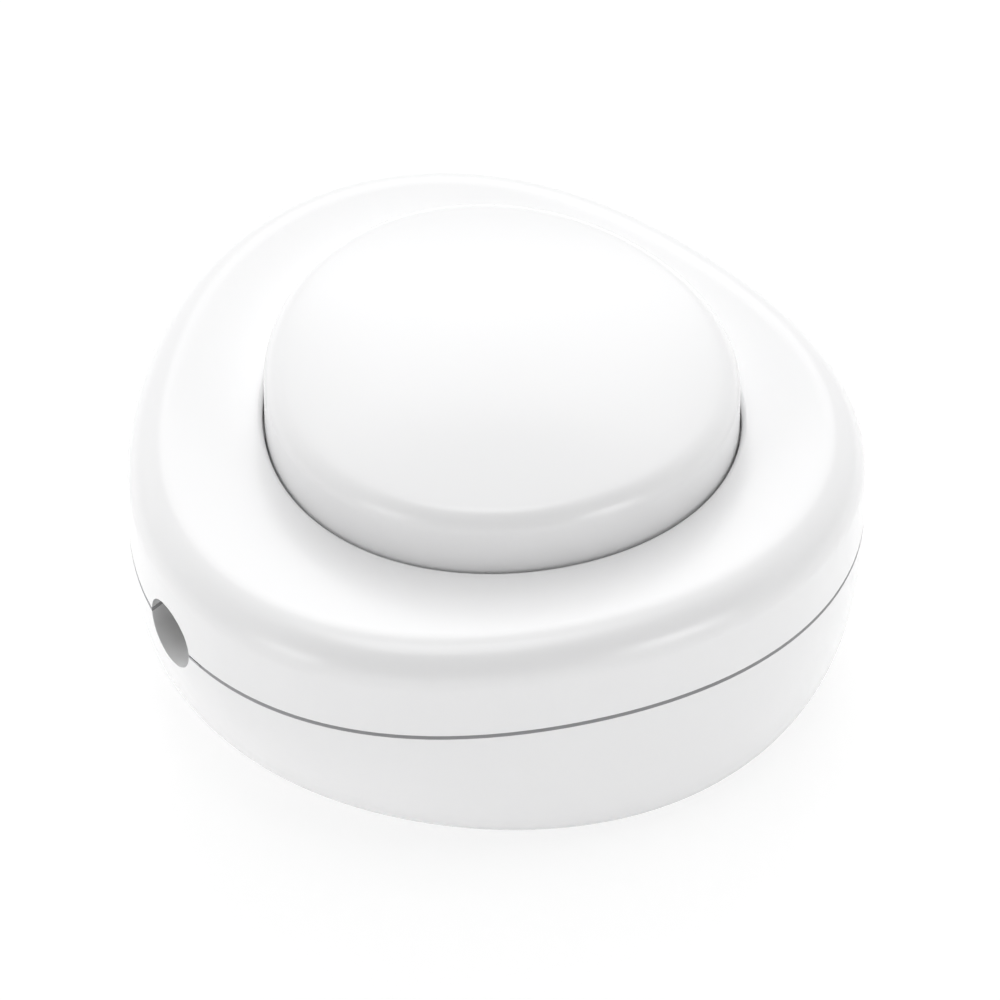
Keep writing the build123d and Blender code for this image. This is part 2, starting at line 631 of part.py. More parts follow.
def slotted_screw(x, y, tip_z, seat_z, radius, head_radius, head, upwards=True):
    """Screw with a cheese head and a slot; the head sits at seat_z, away from the tip."""
    if upwards:
        screw = column(x, y, tip_z, seat_z, radius) + column(x, y, seat_z, seat_z + head, head_radius)
        slot_z = seat_z + head / 2
    else:
        screw = column(x, y, seat_z, tip_z, radius) + column(x, y, seat_z - head, seat_z, head_radius)
        slot_z = seat_z - head
    return screw - block(x - head_radius, x + head_radius, y - SCREW_SLOT / 2, y + SCREW_SLOT / 2,
                         slot_z, slot_z + head / 2)


def terminal_screws():
    """Four clamping screws, one over each wire end."""
    tip = BLOCK_Z + WIRE_HOLE_UP + TONGUE_HEIGHT / 2 + TONGUE_GAP
    seat = BLOCK_Z + BLOCK_HEIGHT + SCREW_STANDS
    return [slotted_screw(x, y, tip, seat, SCREW_RADIUS, SCREW_HEAD_RADIUS, SCREW_HEAD)
            for x, y in terminal_screw_places()]


def cord_clamp(x):
    """Saddle bar that presses the cord into the collar."""
    z0 = SEAM_Z + CLAMP_UP
    half = CLAMP_WIDTH / 2
    bar = block(x - half, x + half, CORD_Y - CLAMP_HALF, CORD_Y + CLAMP_HALF, z0, z0 + CLAMP_THICKNESS)
    bar = fillet(bar.edges().filter_by(Axis.X).group_by(Axis.Z)[-1], CLAMP_ROUND)
    bar -= bar_x(x - half, x + half, CORD_Y, SEAM_Z, CORD_HOLE_RADIUS - CLAMP_SQUEEZE)
    top, seat = z0 + CLAMP_THICKNESS + CUT, z0 + CLAMP_THICKNESS - SMALL_HEAD
    for side in (-1, 1):
        y = CORD_Y + side * CLAMP_SCREW_Y
        bar -= column(x, y, z0 - CUT, top, SMALL_SCREW_RADIUS + HOLE_CLEARANCE)
        bar -= column(x, y, seat, top, SMALL_HEAD_RADIUS + HOLE_CLEARANCE)
    return bar


def clamp_screws():
    """Four screws that pull the cord clamps down."""
    seat = SEAM_Z + CLAMP_UP + CLAMP_THICKNESS - SMALL_HEAD
    tip = SEAM_Z + CLAMP_UP - SMALL_SCREW_DEPTH + SCREW_END_GAP
    return [slotted_screw(x, y, tip, seat, SMALL_SCREW_RADIUS, SMALL_HEAD_RADIUS, SMALL_HEAD)
            for x, y in clamp_screw_places()]


def frame_screws():
    """Two screws through the frame's ears."""
    tip, seat = FRAME_Z - FRAME_SCREW_DEPTH + SCREW_END_GAP, FRAME_Z + FRAME_PLATE
    return [slotted_screw(x, y, tip, seat, SMALL_SCREW_RADIUS, SMALL_HEAD_RADIUS, SMALL_HEAD)
            for x, y in frame_screw_places()]


def cover_screws():
    """Two long screws that pull the cover down from below."""
    tip = COVER_SCREW_TOP - SCREW_END_GAP
    return [slotted_screw(x, y, tip, COVER_RECESS, COVER_SCREW_RADIUS, COVER_HEAD_RADIUS, SCREW_HEAD, False)
            for x, y in cover_screw_places()]


def parts():
    """Every piece of the switch, by name."""
    lever_face = LEVER_Y + LEVER_THICKNESS / 2
    live_out_y = strip_y() + STRIP_THICKNESS / 2
    link_screws = [BUTTON_X - LINK_PITCH / 2, BUTTON_X + LINK_PITCH / 2]
    front_clamp_x, rear_clamp_x = clamp_places()
    return {
        "base_shell": base_shell(),
        "cover_shell": cover_shell(),
        "push_button": push_button(),
        "return_spring": return_spring(),
        "mechanism_frame": mechanism_frame(),
        "ratchet_wheel": ratchet_wheel(),
        "wheel_axle": cross_pin(WHEEL_Y, WHEEL_Z, AXLE_RADIUS),
        "pawl": pawl(),
        "pawl_pin": bar_x(*pawl_pin_ends(), PAWL_Y, PAWL_PIN_Z, PAWL_PIN_RADIUS),
        "contact_lever": contact_lever(),
        "lever_pin": cross_pin(LEVER_Y, LEVER_Z, LEVER_PIN_RADIUS),
        "moving_contact": contact_rivet(lever_face, 1, LEVER_THICKNESS),
        "fixed_contact": contact_rivet(strip_y(), -1, STRIP_THICKNESS),
        "fixed_contact_strip": fixed_contact_strip(),
        "lever_strip": lever_strip(),
        "incoming_terminal": terminal_block(LIVE_IN_X, LIVE_IN_Y, BLOCK_LENGTH, [LIVE_IN_X]),
        "outgoing_terminal": terminal_block(LIVE_OUT_X, live_out_y, BLOCK_LENGTH, [LIVE_OUT_X]),
        "neutral_link": terminal_block(BUTTON_X, LINK_Y, LINK_LENGTH, link_screws),
        "terminal_screws": terminal_screws(),
        "front_cord_clamp": cord_clamp(front_clamp_x),
        "rear_cord_clamp": cord_clamp(rear_clamp_x),
        "clamp_screws": clamp_screws(),
        "frame_screws": frame_screws(),
        "cover_screws": cover_screws(),
    }


def main():
    """Write one STEP file for each piece."""
    os.makedirs("parts", exist_ok=True)
    for name, piece in parts().items():
        if isinstance(piece, list):
            piece = Compound(children=piece)
        export_step(piece, f"parts/{name}.step")
        print(name, round(piece.volume, 2))


main()
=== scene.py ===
"""Looks of a white in-line foot switch, dressed around its packed construction model.

The housing is two glossy moulded shells with a domed push button; the works inside are natural
plastic, brass, plated steel and spring wire. Lengths are in metres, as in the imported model.
"""

import logging
import math
from dataclasses import dataclass
from enum import Enum

import bmesh
import bpy
from mathutils import Matrix, Vector

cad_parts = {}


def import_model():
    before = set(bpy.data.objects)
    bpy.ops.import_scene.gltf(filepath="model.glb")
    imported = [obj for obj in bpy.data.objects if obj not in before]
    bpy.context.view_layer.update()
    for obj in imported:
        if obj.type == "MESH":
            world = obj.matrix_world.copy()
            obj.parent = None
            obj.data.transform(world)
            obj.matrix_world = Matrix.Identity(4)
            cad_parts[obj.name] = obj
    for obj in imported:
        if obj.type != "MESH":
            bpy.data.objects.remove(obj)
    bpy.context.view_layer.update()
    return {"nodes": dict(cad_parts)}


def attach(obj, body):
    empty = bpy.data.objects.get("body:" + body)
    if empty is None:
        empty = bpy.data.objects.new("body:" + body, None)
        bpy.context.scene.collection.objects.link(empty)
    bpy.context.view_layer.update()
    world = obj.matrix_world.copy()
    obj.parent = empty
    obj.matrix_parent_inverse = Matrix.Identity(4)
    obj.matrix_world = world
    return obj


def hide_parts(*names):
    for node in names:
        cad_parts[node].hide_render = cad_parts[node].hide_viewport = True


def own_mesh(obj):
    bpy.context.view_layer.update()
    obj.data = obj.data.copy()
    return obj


MM = 0.001

# Points around an outline, sides of a round bar and steps across a rounded edge
AROUND = 240
BAR_SIDES = 96
ROUND_STEPS = 16

# Points nearer than this are one, and faces that meet at less than this angle look smooth
WELD_WITHIN = 0.0005 * MM
SMOOTH_UP_TO = math.radians(35)

WHITE = (1.0, 1.0, 1.0, 1.0)

log = logging.getLogger("foot_switch")


class Slot(Enum):
    """Names of material slots; no piece here is given one."""

    HOUSING = "white_housing"
    SPRING = "spring_steel"


@dataclass(frozen=True)
class Finish:
    """A surface: how its colour and gloss vary, its fine relief, and a band of painted shade along
    the seam.

    Scales are features in a metre, and heights are metres. The painted seam shade is a darker band
    that stands in for the shade in the groove between the shells.
    It lies within its reach of its height, and nowhere if that height is zero.
    """

    name: str
    colour: tuple[float, float, float]
    darker: tuple[float, float, float]
    metallic: float = 0.0
    roughness: float = 0.3
    roughness_range: float = 0.06
    cloud_scale: float = 60.0
    cloud_detail: float = 3.0
    grain_scale: float = 2500.0
    grain_detail: float = 2.0
    grain_height: float = 0.004 * MM
    grain_stretch: tuple[float, float, float] = (1.0, 1.0, 1.0)
    # Painted shade: a band of this darker colour at this height stands in for the shade in the seam
    seam_shade_height: float = 0.0
    seam_shade_reach: float = 0.24 * MM
    seam_shade_colour: tuple[float, float, float] = (0.42, 0.42, 0.43)

    def material(self) -> bpy.types.Material:
        """Build the node material of this finish.

        Returns:
            A new material that reads only Object coordinates.
        """
        material = bpy.data.materials.new(self.name)
        material.use_nodes = True
        nodes, links = material.node_tree.nodes, material.node_tree.links
        shader = nodes["Principled BSDF"]
        shader.inputs["Metallic"].default_value = self.metallic

        place = nodes.new("ShaderNodeTexCoord")
        cloud = self.noise(nodes, self.cloud_scale, self.cloud_detail)
        links.new(place.outputs["Object"], cloud.inputs["Vector"])
        tint = nodes.new("ShaderNodeMix")
        tint.data_type = "RGBA"
        tint.inputs["A"].default_value = (*self.darker, 1.0)
        tint.inputs["B"].default_value = (*self.colour, 1.0)
        links.new(cloud.outputs["Fac"], tint.inputs["Factor"])
        # Painted shade darkens the narrow band along the seam, where the shells meet
        colour = self.paint_seam_shade(nodes, links, place, tint) if self.seam_shade_height else tint
        links.new(colour.outputs["Result"], shader.inputs["Base Color"])

        gloss = nodes.new("ShaderNodeMapRange")
        gloss.inputs["To Min"].default_value = self.roughness - self.roughness_range
        gloss.inputs["To Max"].default_value = self.roughness + self.roughness_range
        links.new(cloud.outputs["Fac"], gloss.inputs["Value"])
        links.new(gloss.outputs["Result"], shader.inputs["Roughness"])

        stretch = nodes.new("ShaderNodeMapping")
        stretch.inputs["Scale"].default_value = self.grain_stretch
        links.new(place.outputs["Object"], stretch.inputs["Vector"])
        grain = self.noise(nodes, self.grain_scale, self.grain_detail)
        links.new(stretch.outputs["Vector"], grain.inputs["Vector"])
        relief = nodes.new("ShaderNodeBump")
        relief.inputs["Strength"].default_value = 1.0
        relief.inputs["Distance"].default_value = self.grain_height
        links.new(grain.outputs["Fac"], relief.inputs["Height"])
        links.new(relief.outputs["Normal"], shader.inputs["Normal"])
        return material

    def paint_seam_shade(
        self,
        nodes: bpy.types.Nodes,
        links: bpy.types.NodeLinks,
        place: bpy.types.Node,
        unshaded: bpy.types.Node,
    ) -> bpy.types.Node:
        """Paint shade into the narrow band along the seam, where the groove between the shells
        would be shaded.

        Args:
            nodes: The material's nodes.
            links: The material's links.
            place: The coordinates.
            unshaded: The colour without the painted seam shade.

        Returns:
            The node that gives the colour with the painted seam shade.
        """
        parts = nodes.new("ShaderNodeSeparateXYZ")
        links.new(place.outputs["Object"], parts.inputs["Vector"])
        band = nodes.new("ShaderNodeMath")
        band.operation = "COMPARE"
        band.inputs[1].default_value = self.seam_shade_height
        band.inputs[2].default_value = self.seam_shade_reach
        links.new(parts.outputs["Z"], band.inputs[0])
        mix = nodes.new("ShaderNodeMix")
        mix.data_type = "RGBA"
        mix.inputs["B"].default_value = (*self.seam_shade_colour, 1.0)
        links.new(unshaded.outputs["Result"], mix.inputs["A"])
        links.new(band.outputs["Value"], mix.inputs["Factor"])
        return mix

    @staticmethod
    def noise(nodes: bpy.types.Nodes, scale: float, detail: float) -> bpy.types.Node:
        """Add a noise texture.

        Args:
            nodes: The material's nodes.
            scale: Its features in a metre.
            detail: How many finer layers it has.

        Returns:
            The new texture node.
        """
        node = nodes.new("ShaderNodeTexNoise")
        node.inputs["Scale"].default_value = scale
        node.inputs["Detail"].default_value = detail
        return node


# The white shells get a band of painted shade at the seam, 17.8 mm up
GLOSS_WHITE = Finish(
    "gloss_white_plastic", (0.89, 0.89, 0.893), (0.875, 0.875, 0.88), roughness=0.25,
    roughness_range=0.03, grain_scale=900.0, grain_height=0.0015 * MM, seam_shade_height=17.8 * MM,
)
NATURAL = Finish(
    "natural_plastic", (0.78, 0.74, 0.64), (0.7, 0.66, 0.55), roughness=0.45, grain_scale=1500.0,
)
SPRING_WIRE = Finish(
    "spring_wire", (0.5, 0.5, 0.5), (0.32, 0.32, 0.33), metallic=1.0, roughness=0.35,
    cloud_scale=400.0,
)
PLATED_STEEL = Finish(
    "plated_steel", (0.7, 0.71, 0.72), (0.58, 0.59, 0.61), metallic=1.0, roughness=0.32,
    cloud_scale=500.0,
)
BRASS = Finish(
    "brass", (0.8, 0.6, 0.3), (0.68, 0.48, 0.2), metallic=1.0, roughness=0.3, cloud_scale=300.0,
    grain_stretch=(0.1, 1.0, 1.0),
)
CONTACT_METAL = Finish(
    "contact_metal", (0.86, 0.85, 0.83), (0.75, 0.73, 0.7), metallic=1.0, roughness=0.25,
    cloud_scale=600.0,
)

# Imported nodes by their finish
NODE_FINISH = {
    GLOSS_WHITE: ["base_shell", "cover_shell", "push_button"],
    NATURAL: ["mechanism_frame", "ratchet_wheel", "pawl", "front_cord_clamp", "rear_cord_clamp"],
    SPRING_WIRE: ["return_spring"],
    PLATED_STEEL: ["wheel_axle", "pawl_pin", "terminal_screws", "clamp_screws", "frame_screws",
                   "cover_screws"],
    BRASS: ["fixed_contact_strip", "lever_strip", "incoming_terminal", "outgoing_terminal",
            "neutral_link", "contact_lever", "lever_pin"],
    CONTACT_METAL: ["moving_contact", "fixed_contact"],
}


@dataclass(frozen=True)
class Outline:
    """Rounded outline that swells into three soft lobes.

    The radius and the centre's place along X are in millimetres. The swells are shares of the
    radius: oval makes two of them and lobes makes three.
    """

    radius: float
    oval: float
    lobes: float
    centre: float

    def ring(self, height: float, inset: float = 0.0, share: float = 1.0) -> list[Vector]:
        """Lay points around the outline.

        Args:
            height: How high the ring lies, in millimetres.
            inset: How far it is moved in, at right angles to the outline, in millimetres.
            share: Its size as a share of the full outline, about the centre.

        Returns:
            One point in metres for each step around.
        """
        points = []
        for step in range(AROUND):
            angle = 2 * math.pi * step / AROUND
            swell = self.oval * math.cos(2 * angle) + self.lobes * math.cos(3 * angle)
            steepness = 2 * self.oval * math.sin(2 * angle) + 3 * self.lobes * math.sin(3 * angle)
            slope = -self.radius * steepness
            place = Vector((math.cos(angle), math.sin(angle))) * (self.radius * (1 + swell))
            along = Vector((slope * math.cos(angle) - place.y, slope * math.sin(angle) + place.x))
            along.normalize()
            place = (place + Vector((-along.y, along.x)) * inset) * share
            points.append(Vector((self.centre + place.x, place.y, height)) * MM)
        return points


BODY = Outline(radius=35.0, oval=-0.0133, lobes=0.0486, centre=-1.701)
BUTTON = Outline(radius=22.6, oval=-0.0173, lobes=0.0251, centre=-3.801)


class Join(Enum):
    """How one solid is worked into another."""

    ADD = "UNION"
    CUT = "DIFFERENCE"
    KEEP_SHARED = "INTERSECT"


class Axis(Enum):
    """Direction of a round bar, as the turn that lays an upright bar along it."""

    X = (0.0, math.pi / 2, 0.0)
    Z = (0.0, 0.0, 0.0)


def select_only(piece: bpy.types.Object | None) -> None:
    """Deselect everything, then select and activate one piece if one is given."""
    bpy.ops.object.select_all(action="DESELECT")
    if piece:
        piece.select_set(True)
        bpy.context.view_layer.objects.active = piece


def apply_modifier(piece: bpy.types.Object, kind: str, **settings: object) -> None:
    """Add one modifier to a piece and apply it.

    Args:
        piece: The piece to change.
        kind: The modifier's type.
        settings: Its settings, by name.
    """
    select_only(piece)
    bpy.ops.object.modifier_add(type=kind)
    modifier = piece.modifiers[-1]
    for name, value in settings.items():
        setattr(modifier, name, value)
    bpy.ops.object.modifier_apply(modifier=modifier.name)


def weld() -> None:
    """Select the whole mesh in edit mode and merge its doubled points."""
    bpy.ops.mesh.select_all(action="SELECT")
    bpy.ops.mesh.remove_doubles(threshold=WELD_WITHIN)


def face_outwards() -> None:
    """Turn all faces outwards and leave edit mode."""
    bpy.ops.mesh.select_all(action="SELECT")
    bpy.ops.mesh.normals_make_consistent(inside=False)
    bpy.ops.object.mode_set(mode="OBJECT")


def round_bar(
    middle: tuple[float, float, float], radius: float, length: float, axis: Axis
) -> bpy.types.Object:
    """Make a round bar to add or to cut with.

    Args:
        middle: Its middle in millimetres.
        radius: Its radius in millimetres.
        length: Its length in millimetres.
        axis: The direction that it lies in.

    Returns:
        The bar, with its place in its mesh.
    """
    select_only(None)
    bpy.ops.mesh.primitive_cylinder_add(
        vertices=BAR_SIDES, radius=radius * MM, depth=length * MM,
        location=[MM * c for c in middle], rotation=axis.value,
    )
    bpy.ops.object.transform_apply(location=True, rotation=True, scale=True)
    return bpy.context.object


def square_bar(
    low: tuple[float, float, float], high: tuple[float, float, float]
) -> bpy.types.Object:
    """Make a square-edged block between two corners, in millimetres.

    Args:
        low: Its lowest corner.
        high: Its highest corner.

    Returns:
        The block, with its place in its mesh.
    """
    select_only(None)
    middle = [MM * (a + b) / 2 for a, b in zip(low, high)]
    sides = [MM * (b - a) for a, b in zip(low, high)]
    bpy.ops.mesh.primitive_cube_add(size=1.0, location=middle, scale=sides)
    bpy.ops.object.transform_apply(location=True, rotation=True, scale=True)
    return bpy.context.object


def work_in(piece: bpy.types.Object, tool: bpy.types.Object, join: Join) -> None:
    """Work a second solid into a piece, and remove that solid.

    Args:
        piece: The piece to change.
        tool: The solid that is added, cut away or shared.
        join: Which of these it is.
    """
    apply_modifier(piece, "BOOLEAN", operation=join.value, solver="EXACT", object=tool)
    bpy.data.objects.remove(tool, do_unlink=True)


def finish_piece(
    piece: bpy.types.Object, material: bpy.types.Material, body: str, node: str
) -> None:
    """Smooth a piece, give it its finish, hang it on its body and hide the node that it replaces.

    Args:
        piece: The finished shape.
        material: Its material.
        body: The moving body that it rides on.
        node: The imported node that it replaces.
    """
    select_only(piece)
    bpy.ops.object.mode_set(mode="EDIT")
    weld()
    face_outwards()
    bpy.ops.object.shade_smooth_by_angle(angle=SMOOTH_UP_TO)
    apply_modifier(piece, "WEIGHTED_NORMAL", keep_sharp=True)
    piece.data.materials.clear()
    piece.data.materials.append(material)
    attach(piece, body)
    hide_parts(node)
    log.info("made %s: %d faces", piece.name, len(piece.data.polygons))


class RingSkin:
    """Skin that is drawn out from ring to ring, as a moulded wall."""

    def __init__(self, name: str, first: list[Vector]) -> None:
        """Lay down the first ring.

        Args:
            name: The new piece's name.
            first: The ring's points.
        """
        select_only(None)
        bpy.ops.mesh.primitive_circle_add(vertices=AROUND)
        self.piece = bpy.context.object
        self.piece.name = name
        bpy.ops.object.mode_set(mode="EDIT")
        bpy.ops.mesh.select_mode(type="EDGE")
        bpy.ops.mesh.select_all(action="SELECT")
        mesh = bmesh.from_edit_mesh(self.piece.data)
        for vertex, place in zip(mesh.verts, first):
            vertex.co = place
        self.first = first
        self.rings = [list(range(AROUND))]

    def draw_to(self, ring: list[Vector]) -> int:
        """Extrude the open edge to the next ring.

        Args:
            ring: The points of that ring.

        Returns:
            The ring's number, counted from the first as zero.
        """
        bpy.ops.mesh.extrude_edges_move()
        mesh = bmesh.from_edit_mesh(self.piece.data)
        mesh.verts.index_update()
        step_of = {index: step for step, index in enumerate(self.rings[-1])}
        new_ring = [0] * AROUND
        for vertex in mesh.verts:
            if vertex.select:
                below = [edge.other_vert(vertex).index for edge in vertex.link_edges]
                step = next(step_of[index] for index in below if index in step_of)
                vertex.co = ring[step]
                new_ring[step] = vertex.index
        bmesh.update_edit_mesh(self.piece.data)
        self.rings.append(new_ring)
        return len(self.rings) - 1

    def mark_round(self, offsets: dict[int, float]) -> None:
        """Mark the rings that are to be rounded.

        Args:
            offsets: By the ring's number, how far its rounding reaches, as a share of the widest.
        """
        mesh = bmesh.from_edit_mesh(self.piece.data)
        weight = mesh.edges.layers.float.new("bevel_weight_edge")
        for number, share in offsets.items():
            ring = set(self.rings[number])
            for edge in mesh.edges:
                if all(vertex.index in ring for vertex in edge.verts):
                    edge[weight] = share
        bmesh.update_edit_mesh(self.piece.data)

    def close_to_first(self) -> None:
        """Draw the open edge on to the first ring and weld the two."""
        self.draw_to(self.first)
        weld()

    def gather_ends(self) -> None:
        """Draw the first and the last ring each together into a point."""
        for ring in (self.rings[-1], self.rings[0]):
            bpy.ops.mesh.select_mode(type="VERT")
            bpy.ops.mesh.select_all(action="DESELECT")
            mesh = bmesh.from_edit_mesh(self.piece.data)
            mesh.verts.ensure_lookup_table()
            for index in ring:
                mesh.verts[index].select = True
            mesh.select_flush_mode()
            bmesh.update_edit_mesh(self.piece.data)
            bpy.ops.mesh.merge(type="CENTER")

    def leave(self) -> bpy.types.Object:
        """Turn the faces outwards and hand over the piece."""
        face_outwards()
        return self.piece

    def round_off(self, offset: float) -> bpy.types.Object:
        """Round the marked rings.

        Args:
            offset: How far the widest rounding reaches from its edge, in millimetres.

        Returns:
            The piece.
        """
        piece = self.leave()
        apply_modifier(
            piece, "BEVEL", width=offset * MM, segments=ROUND_STEPS, limit_method="WEIGHT",
            offset_type="OFFSET", use_clamp_overlap=False,
        )
        return piece


@dataclass
class CoverShell:
    """Upper shell: upright wall, rounded rim, and a top that falls to the button's opening.

    Sizes are in millimetres. The wall stands off the lower shell by gap, to gap_depth from outside.
    """

    seam: float = 17.8
    rim: float = 28.0
    opening: float = 26.6
    wall: float = 2.0
    roof: float = 2.0
    inner_corner: float = 25.8
    gap: float = 0.24
    gap_depth: float = 0.85
    rebate: float = 1.0
    rebate_height: float = 1.7
    button_clearance: float = 0.17
    rim_reach: float = 4.27
    opening_share: float = 0.125
    corner_share: float = 0.47
    boss_x: float = -16.21
    boss_y: float = 24.44
    boss_radius: float = 2.5
    boss_hole: float = 1.32
    boss_low: float = 15.8
    boss_high: float = 26.2
    boss_hole_top: float = 23.5
    cord_y: float = -8.0
    cord_radius: float = 3.45
    cord_cut_length: float = 140.0
    collar_half: float = 5.05
    collars: tuple[tuple[float, float], ...] = ((28.3, 35.3), (-34.0, -31.0))
    core_inset: float = 0.6
    core_depth: float = 1.0
    core_middle_share: float = 0.04

    def build(self, material: bpy.types.Material) -> None:
        """Model and dress the shell.

        Args:
            material: Its finish.
        """
        skin = RingSkin("cover_moulding", BODY.ring(self.seam, self.gap_depth))
        under = self.opening - self.roof
        ledge = self.seam + self.rebate_height
        skin.draw_to(BODY.ring(self.seam + self.gap, self.gap_depth))
        skin.draw_to(BODY.ring(self.seam + self.gap))
        rim = skin.draw_to(BODY.ring(self.rim))
        opening = skin.draw_to(BUTTON.ring(self.opening, -self.button_clearance))
        skin.draw_to(BUTTON.ring(under, -self.button_clearance))
        corner = skin.draw_to(BODY.ring(self.inner_corner, self.wall))
        skin.draw_to(BODY.ring(ledge, self.wall))
        skin.draw_to(BODY.ring(ledge, self.rebate))
        skin.draw_to(BODY.ring(self.seam, self.rebate))
        skin.mark_round({rim: 1.0, opening: self.opening_share, corner: self.corner_share})
        skin.close_to_first()
        piece = skin.round_off(self.rim_reach)
        self.add_collars(piece)
        self.add_bosses(piece)
        middle = (0.0, self.cord_y, self.seam)
        cord_hole = round_bar(middle, self.cord_radius, self.cord_cut_length, Axis.X)
        work_in(piece, cord_hole, Join.CUT)
        finish_piece(piece, material, "housing", "cover_shell")

    def add_collars(self, piece: bpy.types.Object) -> None:
        """Add the upper halves of the collars that lengthen the cord holes inside.

        Args:
            piece: The shell.
        """
        foot = self.seam - self.core_depth
        for start, end in self.collars:
            low = (start, self.cord_y - self.collar_half, self.seam)
            high = (end, self.cord_y + self.collar_half, self.seam + self.collar_half)
            collar = square_bar(low, high)
            core = RingSkin("core", BODY.ring(foot, self.core_inset, self.core_middle_share))
            core.draw_to(BODY.ring(foot, self.core_inset))
            core.draw_to(BODY.ring(self.rim, self.core_inset))
            core.draw_to(BODY.ring(self.rim, self.core_inset, self.core_middle_share))
            core.gather_ends()
            work_in(collar, core.leave(), Join.KEEP_SHARED)
            work_in(piece, collar, Join.ADD)

    def add_bosses(self, piece: bpy.types.Object) -> None:
        """Add the two bosses that the cover's screws bite into.

        Args:
            piece: The shell.
        """
        for y in (-self.boss_y, self.boss_y):
            height = self.boss_high - self.boss_low
            middle = (self.boss_x, y, self.boss_low + height / 2)
            work_in(piece, round_bar(middle, self.boss_radius, height, Axis.Z), Join.ADD)
            middle = (self.boss_x, y, self.boss_hole_top / 2)
            work_in(piece, round_bar(middle, self.boss_hole, self.boss_hole_top, Axis.Z), Join.CUT)


@dataclass
class PushButton:
    """Hollow domed button with a flange, and the boss that holds the spring and the pawl.

    Sizes are in millimetres, and shares are the rings on the dome, as shares of the outline.
    """

    bottom: float = 23.0
    flange_top: float = 24.3
    flange: float = 1.2
    dome_top: float = 35.6
    dome_radius: float = 90.0
    wall: float = 1.8
    edge_reach: float = 1.857
    shares: tuple[float, ...] = (0.04, 0.2, 0.4, 0.6, 0.8, 0.9)
    boss_radius: float = 4.3
    boss_low: float = 24.2
    seat_radius: float = 6.4
    seat_low: float = 31.0
    boss_high: float = 34.6
    slot_low: tuple[float, float, float] = (-8.001, -8.0, 23.2)
    slot_high: tuple[float, float, float] = (-4.901, 1.6, 28.0)
    pin_middle: tuple[float, float, float] = (-5.251, -0.4, 26.0)
    pin_radius: float = 0.82
    pin_length: float = 5.4

    def dome_ring(self, share: float, inset: float) -> list[Vector]:
        """Lay a ring on the dome.

        Args:
            share: Its size as a share of the outline.
            inset: How far it lies inside the outer skin, sideways and down, in millimetres.

        Returns:
            The points, each at the dome's height.
        """
        ring = BUTTON.ring(0.0, inset, share)
        centre = Vector((BUTTON.centre * MM, 0.0))
        for point in ring:
            out = (point.xy - centre).length
            low = (self.dome_top - inset - self.dome_radius) * MM
            point.z = low + math.sqrt((self.dome_radius * MM) ** 2 - out * out)
        return ring

    def build(self, material: bpy.types.Material) -> None:
        """Model and dress the button.

        Args:
            material: Its finish.
        """
        skin = RingSkin("button_moulding", self.dome_ring(self.shares[0], 0.0))
        for share in self.shares[1:]:
            skin.draw_to(self.dome_ring(share, 0.0))
        edge = skin.draw_to(self.dome_ring(1.0, 0.0))
        for ring in (
            BUTTON.ring(self.flange_top),
            BUTTON.ring(self.flange_top, -self.flange),
            BUTTON.ring(self.bottom, -self.flange),
            BUTTON.ring(self.bottom, self.wall),
            self.dome_ring(1.0, self.wall),
        ):
            skin.draw_to(ring)
        for share in reversed(self.shares):
            skin.draw_to(self.dome_ring(share, self.wall))
        skin.mark_round({edge: 1.0})
        skin.gather_ends()
        piece = skin.round_off(self.edge_reach)
        self.add_boss(piece)
        finish_piece(piece, material, "button", "push_button")

    def add_boss(self, piece: bpy.types.Object) -> None:
        """Add the boss under the dome, with the spring's seat, the pawl's slot and its pin's hole.

        Args:
            piece: The button.
        """
        for radius, low in ((self.boss_radius, self.boss_low), (self.seat_radius, self.seat_low)):
            height = self.boss_high - low
            middle = (BUTTON.centre, 0.0, low + height / 2)
            work_in(piece, round_bar(middle, radius, height, Axis.Z), Join.ADD)
        work_in(piece, square_bar(self.slot_low, self.slot_high), Join.CUT)
        pin_hole = round_bar(self.pin_middle, self.pin_radius, self.pin_length, Axis.X)
        work_in(piece, pin_hole, Join.CUT)


@dataclass
class ReturnSpring:
    """Coil that lifts the button and is squeezed when it is pressed; it is built at rest, in
    millimetres.
    """

    foot: float = 20.6
    height: float = 10.4
    coil_radius: float = 5.5
    wire_radius: float = 0.45
    turns: int = 4
    steps: int = 48
    wire_sides: int = 16
    press: float = 4.5

    def build(self, material: bpy.types.Material) -> None:
        """Model and dress the spring.

        Args:
            material: Its finish.
        """
        select_only(None)
        bpy.ops.mesh.primitive_circle_add(
            vertices=self.wire_sides, radius=self.wire_radius * MM,
            location=(self.coil_radius * MM, 0.0, (self.foot + self.wire_radius) * MM),
            rotation=(math.pi / 2, 0.0, 0.0),
        )
        bpy.ops.object.transform_apply(location=True, rotation=True, scale=True)
        piece = bpy.context.object
        piece.name = "return_coil"
        rise = (self.height - 2 * self.wire_radius) / self.turns
        apply_modifier(
            piece, "SCREW", angle=2 * math.pi, screw_offset=rise * MM, iterations=self.turns,
            steps=self.steps, render_steps=self.steps,
        )
        piece.location.x = BUTTON.centre * MM
        bpy.ops.object.transform_apply(location=True, rotation=True, scale=True)
        bpy.ops.object.mode_set(mode="EDIT")
        weld()
        bpy.ops.mesh.fill_holes(sides=0)
        bpy.ops.object.mode_set(mode="OBJECT")
        finish_piece(piece, material, "housing", "return_spring")
        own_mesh(piece)


@dataclass(frozen=True)
class Softbox:
    """Square lamp that looks at the switch.

    Its place is how far it stands to the viewer's right, towards the viewer and above the switch.
    Lengths are in metres and the power is in watts.
    """

    name: str
    right: float
    nearer: float
    above: float
    size: float
    power: float


SOFTBOXES = (
    Softbox("back_softbox", right=0.02, nearer=-0.76, above=0.68, size=0.62, power=2.3),
    Softbox("top_softbox", right=0.0, nearer=0.1, above=1.0, size=0.5, power=2.3),
    Softbox("left_softbox", right=-0.62, nearer=0.62, above=0.16, size=0.3, power=0.85),
    Softbox("right_softbox", right=0.62, nearer=0.62, above=0.16, size=0.3, power=1.3),
)


